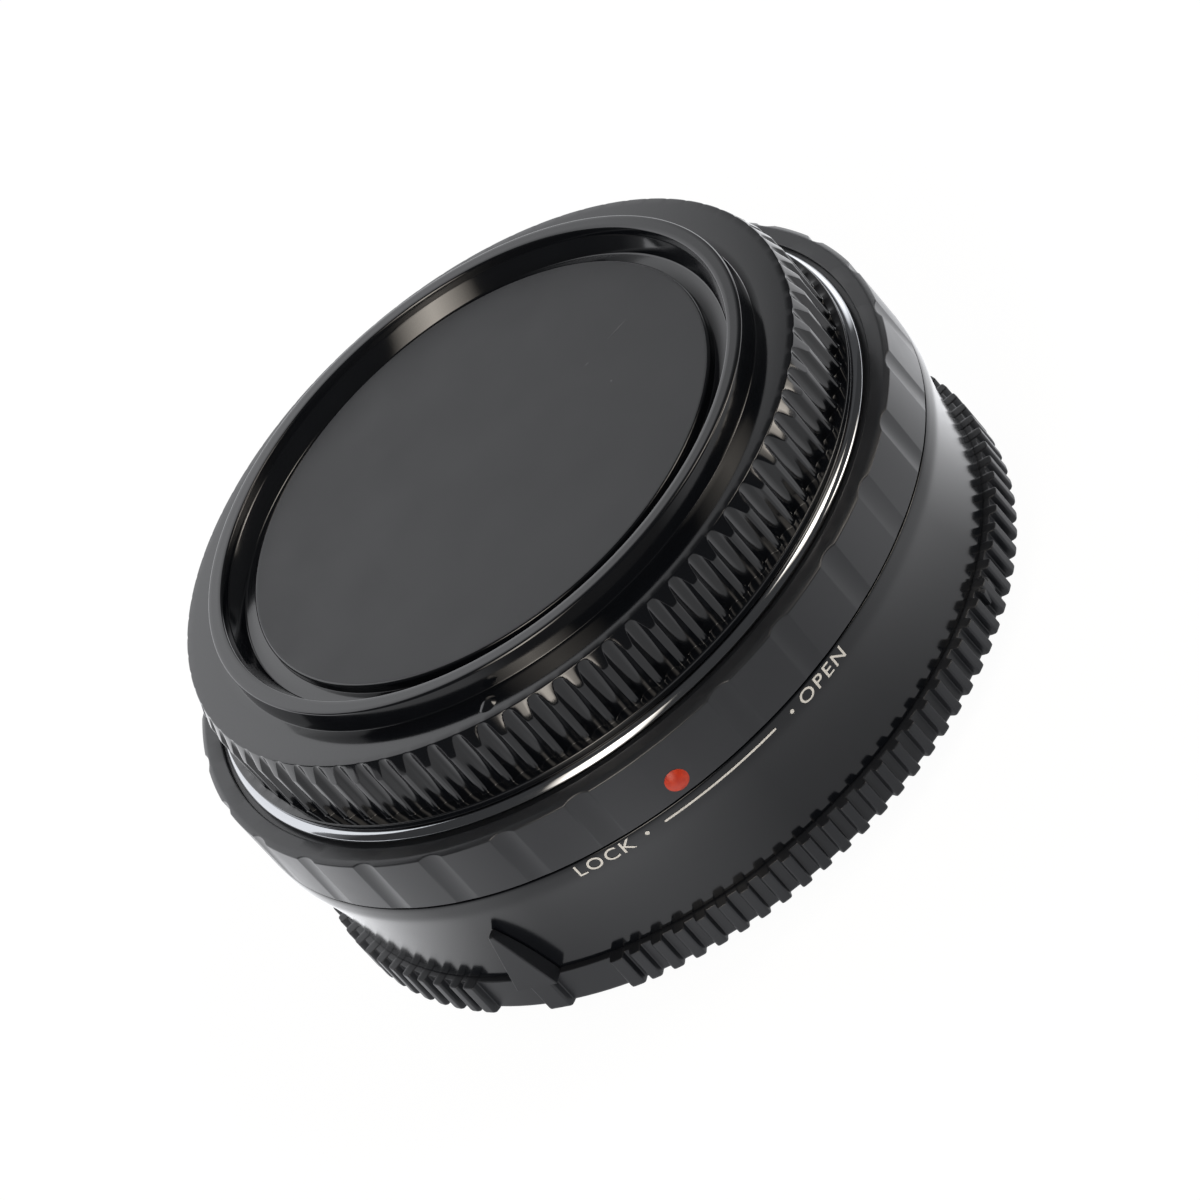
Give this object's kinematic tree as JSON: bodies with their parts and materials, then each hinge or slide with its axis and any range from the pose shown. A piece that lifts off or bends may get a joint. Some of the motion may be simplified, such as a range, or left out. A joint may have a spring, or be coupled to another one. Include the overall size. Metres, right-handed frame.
{
  "type": "lens mount adapter",
  "caption": "Round lens mount adapter with a fluted front cap, a scooped lock ring with a red index dot, a waisted barrel and a ribbed rear cap with a pointer.",
  "frame": {"origin": "centre of the rear cap's foot, on the surface it stands on", "axes": "+Z along the optical axis towards the lens side, -Y faces the user with the lettered band"},
  "size_m": [0.064, 0.0642, 0.031],
  "materials": {
    "satin_black_moulding": "satin moulded",
    "gloss_black_moulding": "gloss moulded, matt disc",
    "black_anodised_barrel": "smooth black anodised",
    "black_anodised_ring": "satin black anodised",
    "red_enamel": "gloss enamel",
    "chromed_brass": "turned and chromed",
    "screw_steel": "turned",
    "spring_steel": "rolled strip",
    "blackened_brass": "matt blackened"
  },
  "bodies": {
    "adapter": {"body_barrel": "black_anodised_barrel", "camera_mount": "chromed_brass", "camera_mount_screws": "screw_steel", "lens_mount": "chromed_brass", "lens_mount_screws": "screw_steel", "friction_spring": "spring_steel"},
    "lock_ring_set": {"lock_ring": "black_anodised_ring", "index_dot": "red_enamel", "aperture_lever": "blackened_brass", "lever_pin": "screw_steel", "lever_screws": "screw_steel"},
    "front_cap": {"front_cap": "gloss_black_moulding"},
    "rear_cap": {"rear_cap": "satin_black_moulding"}
  },
  "joints": [
    {"name": "lock_ring_turn", "type": "hinge", "parent": "adapter", "child": "lock_ring_set", "pos_m": [0, 0, 0.019], "axis": [0, 0, 1], "range_deg": [-7.9, 17.5]},
    {"name": "front_cap_twist", "type": "hinge", "parent": "adapter", "child": "front_cap", "pos_m": [0, 0, 0.0226], "axis": [0, 0, 1], "range_deg": [0, 60]},
    {"name": "rear_cap_twist", "type": "hinge", "parent": "adapter", "child": "rear_cap", "pos_m": [0, 0, 0.0059], "axis": [0, 0, 1], "range_deg": [-60, 0]}
  ]
}
